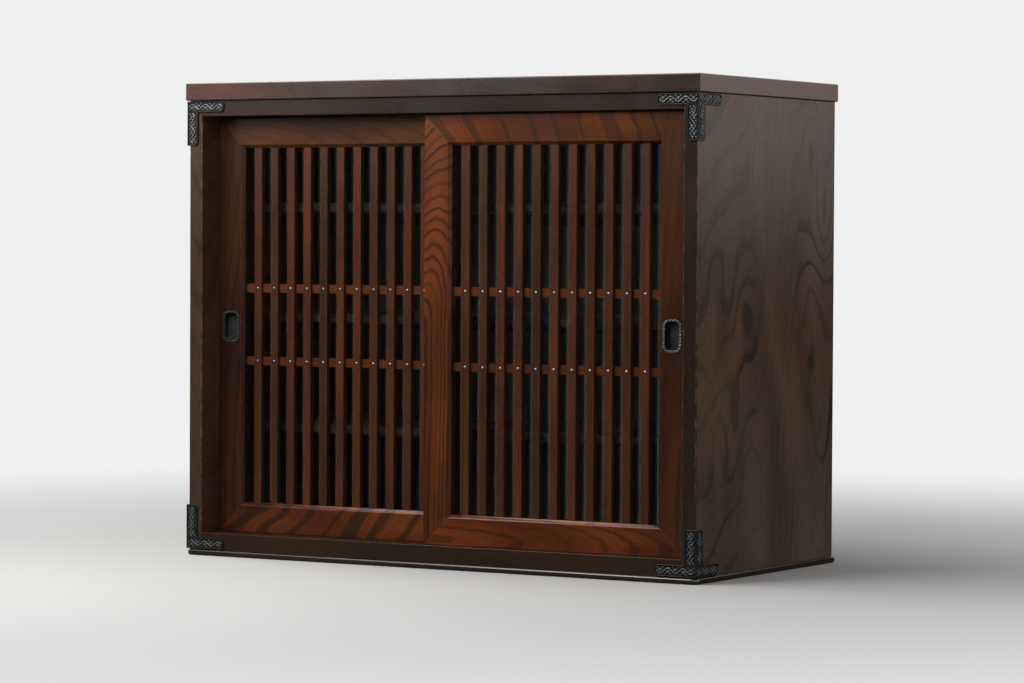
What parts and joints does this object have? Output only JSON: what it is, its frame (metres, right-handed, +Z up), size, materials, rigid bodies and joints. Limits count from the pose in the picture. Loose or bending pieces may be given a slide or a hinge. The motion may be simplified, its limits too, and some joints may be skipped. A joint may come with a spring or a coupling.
{
  "type": "kitchen cabinet",
  "caption": "Low kitchen cabinet of dark lacquered wood with two by-pass sliding lattice doors, glazed behind, three shelves, cast corner irons and recessed pulls.",
  "frame": {"origin": "centre of the overall box on the underside of the base board", "axes": "+X along the front to the viewer's right, +Y to the back, +Z up; the doors face -Y"},
  "size_m": [0.91, 0.447, 0.736],
  "materials": {
    "case_wood": "satin lacquered zelkova, strong cathedral grain",
    "black_wood": "near-black satin lacquer",
    "door_wood": "satin lacquered zelkova, red brown with dark grain",
    "lattice_wood": "satin lacquered wood, dark red brown",
    "inner_wood": "dark stained wood, matt",
    "cast_iron": "black painted cast iron with worn highlights",
    "stud_metal": "dulled bright metal",
    "glass": "clear float glass"
  },
  "bodies": {
    "case": {"back_panel": "inner_wood", "back_rail": "inner_wood", "base_board": "black_wood", "bottom_left_corner_iron": "cast_iron", "bottom_right_corner_iron": "cast_iron", "floor_bearers": "inner_wood", "floor_board": "inner_wood", "left_side_board": "case_wood", "lower_shelf": "inner_wood", "lower_track": "black_wood", "middle_shelf": "inner_wood", "right_side_board": "case_wood", "shelf_cleats": "inner_wood", "top_board": "case_wood", "top_left_corner_iron": "cast_iron", "top_right_corner_iron": "cast_iron", "upper_shelf": "inner_wood", "upper_track": "black_wood"},
    "left_door": {"left_door_bar_01": "lattice_wood", "left_door_bar_02": "lattice_wood", "left_door_bar_03": "lattice_wood", "left_door_bar_04": "lattice_wood", "left_door_bar_05": "lattice_wood", "left_door_bar_06": "lattice_wood", "left_door_bar_07": "lattice_wood", "left_door_bar_08": "lattice_wood", "left_door_bar_09": "lattice_wood", "left_door_bar_10": "lattice_wood", "left_door_bar_11": "lattice_wood", "left_door_bottom_rail": "door_wood", "left_door_glass": "glass", "left_door_glass_beads": "door_wood", "left_door_lower_crosspiece": "lattice_wood", "left_door_meeting_stile": "door_wood", "left_door_outer_stile": "door_wood", "left_door_pull": "cast_iron", "left_door_studs": "stud_metal", "left_door_top_rail": "door_wood", "left_door_upper_crosspiece": "lattice_wood"},
    "right_door": {"right_door_bar_01": "lattice_wood", "right_door_bar_02": "lattice_wood", "right_door_bar_03": "lattice_wood", "right_door_bar_04": "lattice_wood", "right_door_bar_05": "lattice_wood", "right_door_bar_06": "lattice_wood", "right_door_bar_07": "lattice_wood", "right_door_bar_08": "lattice_wood", "right_door_bar_09": "lattice_wood", "right_door_bar_10": "lattice_wood", "right_door_bar_11": "lattice_wood", "right_door_bottom_rail": "door_wood", "right_door_glass": "glass", "right_door_glass_beads": "door_wood", "right_door_lower_crosspiece": "lattice_wood", "right_door_meeting_stile": "door_wood", "right_door_outer_stile": "door_wood", "right_door_pull": "cast_iron", "right_door_studs": "stud_metal", "right_door_top_rail": "door_wood", "right_door_upper_crosspiece": "lattice_wood"}
  },
  "joints": [
    {"name": "left_door_slide", "type": "slide", "parent": "case", "child": "left_door", "axis": [1, 0, 0], "range_m": [0, 0.4027]},
    {"name": "right_door_slide", "type": "slide", "parent": "case", "child": "right_door", "axis": [-1, 0, 0], "range_m": [0, 0.4027]}
  ]
}
